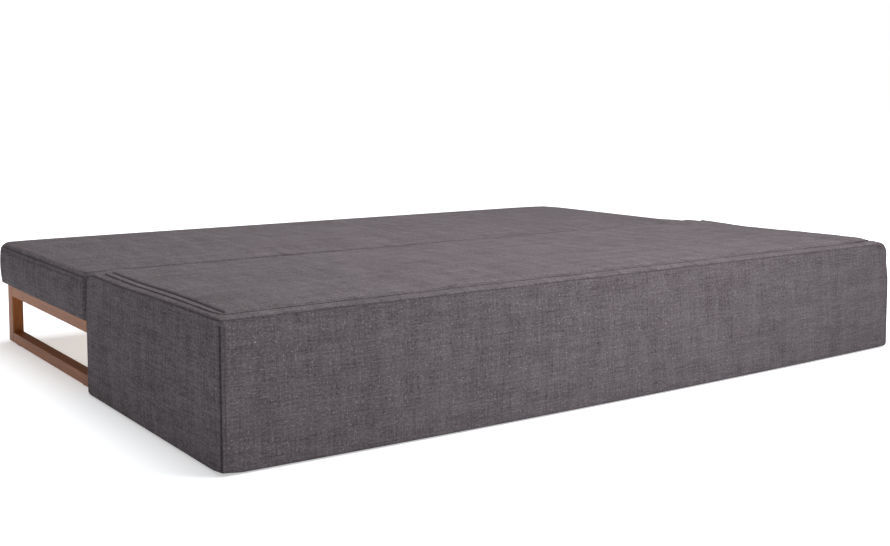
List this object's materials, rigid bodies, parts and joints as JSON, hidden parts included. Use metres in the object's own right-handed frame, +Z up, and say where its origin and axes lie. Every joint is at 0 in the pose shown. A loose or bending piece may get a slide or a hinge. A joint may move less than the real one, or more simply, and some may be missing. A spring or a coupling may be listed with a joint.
{
  "type": "futon sofa bed",
  "caption": "Upholstered futon sofa bed laid flat: thin seat on open timber loop frames, with a full-height back that hinges up from the floor.",
  "frame": {"origin": "on the floor, below the middle of the whole bed", "axes": "+X along the bed's width, from the left end to the right end as seen from the back's outer long side; +Y from the back block towards the seat on its timber loops; +Z up"},
  "size_m": [2.03, 1.512, 0.29],
  "materials": {
    "charcoal_weave": "charcoal tweed weave with pale flecks",
    "oiled_walnut": "oiled satin",
    "pine": "sawn and planed",
    "plywood": "sanded",
    "foam": "open-cell foam",
    "soft_foam": "soft open-cell foam",
    "black_lining": "non-woven",
    "felt": "pressed felt",
    "nylon": "moulded",
    "black_steel": "black powder coat",
    "zinc": "zinc plated"
  },
  "bodies": {
    "seat": {"floor_pad_far_left": "felt", "floor_pad_far_right": "felt", "floor_pad_near_left": "felt", "floor_pad_near_right": "felt", "hinge_arm_left": "black_steel", "hinge_arm_right": "black_steel", "hinge_pin_left": "zinc", "hinge_pin_right": "zinc", "loop_bottom_rail_left": "oiled_walnut", "loop_bottom_rail_right": "oiled_walnut", "loop_far_post_left": "oiled_walnut", "loop_far_post_right": "oiled_walnut", "loop_near_post_left": "oiled_walnut", "loop_near_post_right": "oiled_walnut", "loop_top_rail_left": "oiled_walnut", "loop_top_rail_right": "oiled_walnut", "pawl_pin_left": "zinc", "pawl_pin_right": "zinc", "seat_beam_far": "oiled_walnut", "seat_beam_near": "pine", "seat_beam_near_left": "pine", "seat_beam_near_right": "pine", "seat_cover": "charcoal_weave", "seat_deck": "plywood", "seat_foam_core": "foam", "seat_foam_topper": "soft_foam", "seat_hinge_bolt_left_1": "zinc", "seat_hinge_bolt_left_2": "zinc", "seat_hinge_bolt_right_1": "zinc", "seat_hinge_bolt_right_2": "zinc", "seat_middle_leg": "oiled_walnut", "seat_stretcher_left": "pine", "seat_stretcher_middle": "pine", "seat_stretcher_right": "pine"},
    "back": {"back_cover": "charcoal_weave", "back_deck": "plywood", "back_dust_cloth": "black_lining", "back_end_left": "plywood", "back_end_right": "plywood", "back_foam": "soft_foam", "back_glide_front_left": "nylon", "back_glide_front_right": "nylon", "back_glide_junction_left": "nylon", "back_glide_junction_right": "nylon", "back_hinge_bolt_left_1": "zinc", "back_hinge_bolt_left_2": "zinc", "back_hinge_bolt_right_1": "zinc", "back_hinge_bolt_right_2": "zinc", "back_hinge_rib_left": "plywood", "back_hinge_rib_right": "plywood", "back_middle_rib": "plywood", "back_panel_front": "plywood", "back_panel_junction": "plywood", "back_wrap_front": "foam", "back_wrap_left": "foam", "back_wrap_right": "foam", "ratchet_plate_left": "black_steel", "ratchet_plate_right": "black_steel"},
    "pawl_left": {"ratchet_pawl_left": "zinc"},
    "pawl_right": {"ratchet_pawl_right": "zinc"}
  },
  "joints": [
    {"name": "back_fold", "type": "hinge", "parent": "seat", "child": "back", "pos_m": [0, -0.053, 0.245], "axis": [-1, 0, 0], "range_deg": [0, 80]},
    {"name": "pawl_left_swing", "type": "hinge", "parent": "seat", "child": "pawl_left", "pos_m": [-0.806, -0.086, 0.199], "axis": [1, 0, 0], "range_deg": [0, 9]},
    {"name": "pawl_right_swing", "type": "hinge", "parent": "seat", "child": "pawl_right", "pos_m": [0.806, -0.086, 0.199], "axis": [1, 0, 0], "range_deg": [0, 9]}
  ]
}
